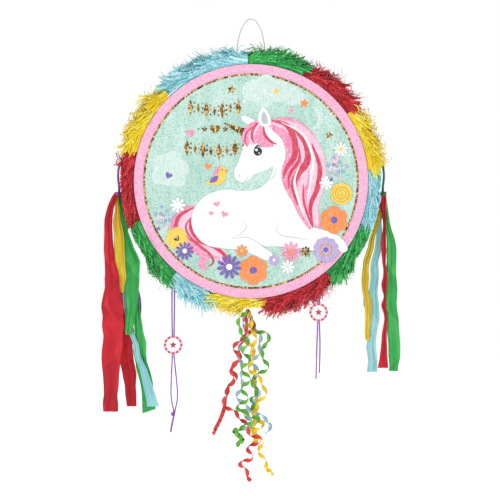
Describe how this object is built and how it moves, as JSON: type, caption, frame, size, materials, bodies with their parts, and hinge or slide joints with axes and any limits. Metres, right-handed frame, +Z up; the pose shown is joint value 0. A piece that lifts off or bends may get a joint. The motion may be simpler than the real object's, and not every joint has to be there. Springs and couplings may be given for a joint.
{
  "type": "hanging pull-ribbon pinata",
  "caption": "Round card drum pinata with a crepe fringe, a ribbon-pulled trap door, streamer tassels, tagged pull strings and a hanging loop.",
  "frame": {"origin": "the underside of the hanging loop's apex, where it rests on a hook", "axes": "+Z up, -Y out of the decorated face, +X to the right as seen from the front"},
  "size_m": [0.528, 0.0778, 0.8231],
  "materials": {
    "kraft_card": "plain corrugated card",
    "chipboard": "grey board",
    "pink_card": "printed card with a fine glitter",
    "mint_card": "printed card with a fine glitter",
    "crepe_blue": "crepe paper",
    "crepe_green": "crepe paper",
    "crepe_red": "crepe paper",
    "crepe_yellow": "crepe paper",
    "ribbon_blue": "pearly curling ribbon",
    "ribbon_green": "curling ribbon",
    "ribbon_red": "curling ribbon",
    "ribbon_yellow": "curling ribbon",
    "ribbon_purple": "satin curling ribbon",
    "white_cord": "twisted cord",
    "paper_tape": "gummed paper tape",
    "tag_paper": "coated sticker"
  },
  "bodies": {
    "hanging_loop": {"hanging_cord": "white_cord"},
    "drum": {"front_panel": "kraft_card", "back_panel": "kraft_card", "pink_face_sheet": "pink_card", "mint_face_sheet": "mint_card", "rim_band": "chipboard", "cord_pad": "chipboard", "knot_left": "white_cord", "knot_right": "white_cord", "hinge_tape_rim_leaf": "paper_tape", "left_tie_anchor": "ribbon_purple", "right_tie_anchor": "ribbon_green", "fringe_01_green": "crepe_green", "fringe_02_red": "crepe_red", "fringe_03_yellow": "crepe_yellow", "fringe_04_blue": "crepe_blue", "fringe_05_green": "crepe_green", "fringe_06_red": "crepe_red", "fringe_08_blue": "crepe_blue", "fringe_09_green": "crepe_green", "fringe_10_red": "crepe_red", "fringe_11_yellow": "crepe_yellow", "fringe_12_blue": "crepe_blue"},
    "fill_flap": {"fill_flap": "kraft_card"},
    "trap_door": {"trap_door": "chipboard", "hinge_tape_door_leaf": "paper_tape", "fringe_07_yellow": "crepe_yellow", "ribbon_bundle": "ribbon_purple"},
    "pull_ribbons": {"pull_ribbon_green_front": "ribbon_green", "pull_ribbon_red_long": "ribbon_red", "pull_ribbon_yellow_long": "ribbon_yellow", "pull_ribbon_blue_left": "ribbon_blue", "pull_ribbon_red_curl": "ribbon_red", "pull_ribbon_green_back": "ribbon_green", "pull_ribbon_blue_right": "ribbon_blue", "pull_ribbon_yellow_back": "ribbon_yellow"},
    "left_tie": {"left_tie_ribbon": "ribbon_purple"},
    "left_tassel": {"left_streamer_red_front": "crepe_red", "left_streamer_yellow": "crepe_yellow", "left_streamer_green_short": "crepe_green", "left_streamer_blue": "crepe_blue", "left_streamer_green_long": "crepe_green", "left_streamer_red_back": "crepe_red", "left_tail_ribbon": "ribbon_purple"},
    "right_tie": {"right_tie_ribbon": "ribbon_green"},
    "right_tassel": {"right_streamer_dark_red": "crepe_red", "right_streamer_green": "crepe_green", "right_streamer_yellow": "crepe_yellow", "right_streamer_blue": "crepe_blue", "right_tail_ribbon": "ribbon_purple"},
    "left_pull_string": {"left_string_1": "ribbon_purple", "left_string_2": "ribbon_purple", "left_tag_front": "tag_paper", "left_tag_back": "tag_paper"},
    "right_pull_string": {"right_string_1": "ribbon_purple", "right_string_2": "ribbon_purple", "right_tag_front": "tag_paper", "right_tag_back": "tag_paper"}
  },
  "joints": [
    {"name": "drum_swing", "type": "hinge", "parent": "hanging_loop", "child": "drum", "pos_m": [0, 0, -0.08742], "axis": [1, 0, 0], "range_deg": [-35, 35]},
    {"name": "fill_flap_crease", "type": "hinge", "parent": "drum", "child": "fill_flap", "pos_m": [0, 0.038, -0.15975], "axis": [1, 0, 0], "range_deg": [0, 110]},
    {"name": "trap_door_hinge", "type": "hinge", "parent": "drum", "child": "trap_door", "pos_m": [-0.06724, 0, -0.48419], "axis": [0, 1, 0], "range_deg": [0, 70]},
    {"name": "pull_ribbons_hang", "type": "hinge", "parent": "trap_door", "child": "pull_ribbons", "pos_m": [-0.006, 0, -0.51722], "axis": [0, 1, 0], "range_deg": [-70, 0]},
    {"name": "left_tie_swing", "type": "hinge", "parent": "drum", "child": "left_tie", "pos_m": [-0.22947, 0, -0.25078], "axis": [0, 1, 0], "range_deg": [0, 45]},
    {"name": "left_tassel_swing", "type": "hinge", "parent": "left_tie", "child": "left_tassel", "pos_m": [-0.235, 0, -0.303], "axis": [1, 0, 0], "range_deg": [-25, 25]},
    {"name": "right_tie_swing", "type": "hinge", "parent": "drum", "child": "right_tie", "pos_m": [0.22947, 0, -0.25078], "axis": [0, -1, 0], "range_deg": [0, 45]},
    {"name": "right_tassel_swing", "type": "hinge", "parent": "right_tie", "child": "right_tassel", "pos_m": [0.235, 0, -0.303], "axis": [1, 0, 0], "range_deg": [-25, 25]},
    {"name": "left_string_swing", "type": "hinge", "parent": "drum", "child": "left_pull_string", "pos_m": [-0.137, -0.0255, -0.44598], "axis": [0, 1, 0], "range_deg": [-12, 12]},
    {"name": "right_string_swing", "type": "hinge", "parent": "drum", "child": "right_pull_string", "pos_m": [0.119, -0.0255, -0.46011], "axis": [0, 1, 0], "range_deg": [-12, 12]}
  ],
  "couplings": [
    {"joint": "pull_ribbons_hang", "follows": "trap_door_hinge", "ratio": -1}
  ]
}
